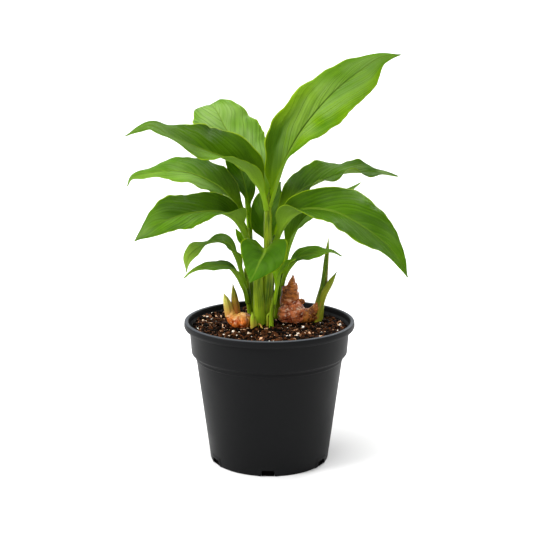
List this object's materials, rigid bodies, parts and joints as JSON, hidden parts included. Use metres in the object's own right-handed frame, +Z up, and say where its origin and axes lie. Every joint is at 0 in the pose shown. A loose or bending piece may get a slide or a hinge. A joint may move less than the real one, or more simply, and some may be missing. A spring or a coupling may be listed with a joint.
{
  "type": "potted turmeric plant",
  "caption": "Young leafy turmeric plant with upright sheathed stems and ringed rhizomes showing at the soil, in a round tapered black nursery pot.",
  "frame": {"origin": "centre of the underside of the pot", "axes": "+Z up along the plant, +X to the right and +Y away from the viewer as the picture shows it"},
  "size_m": [0.2643, 0.1753, 0.3795],
  "materials": {
    "pot_plastic": "black injection-moulded polypropylene, satin",
    "potting_mix": "damp peat and bark with perlite",
    "rhizome_skin": "orange ringed rhizome skin",
    "rhizome_skin_red": "reddish-brown ringed rhizome skin",
    "shoot_sheath": "pale young sheath, satin",
    "stem_sheath": "yellow-green leaf sheaths, satin",
    "leaf_blade": "living leaf, waxy satin"
  },
  "bodies": {
    "root": {"pot": "pot_plastic", "potting_mix": "potting_mix", "rhizome_left": "rhizome_skin", "rhizome_right": "rhizome_skin_red", "shoot_left_short": "shoot_sheath", "shoot_left_tall": "shoot_sheath", "shoot_right": "shoot_sheath", "sprout_front_left": "shoot_sheath", "sprout_front_right": "shoot_sheath", "stem_main": "stem_sheath", "stem_left": "stem_sheath", "stem_back_left": "stem_sheath", "stem_back_right": "stem_sheath", "stem_right": "stem_sheath", "stem_front": "stem_sheath", "leaf_top_right": "leaf_blade", "leaf_top_left": "leaf_blade", "leaf_back": "leaf_blade", "leaf_left_upper": "leaf_blade", "leaf_left_lower": "leaf_blade", "leaf_right_upper": "leaf_blade", "leaf_right_large": "leaf_blade", "leaf_right_inner": "leaf_blade", "leaf_front": "leaf_blade", "leaf_small_left_upper": "leaf_blade", "leaf_small_left_lower": "leaf_blade", "leaf_small_left_back": "leaf_blade", "leaf_small_right": "leaf_blade", "leaf_small_front_right": "leaf_blade", "leaf_inner_left": "leaf_blade", "leaf_inner_back": "leaf_blade"}
  },
  "joints": []
}
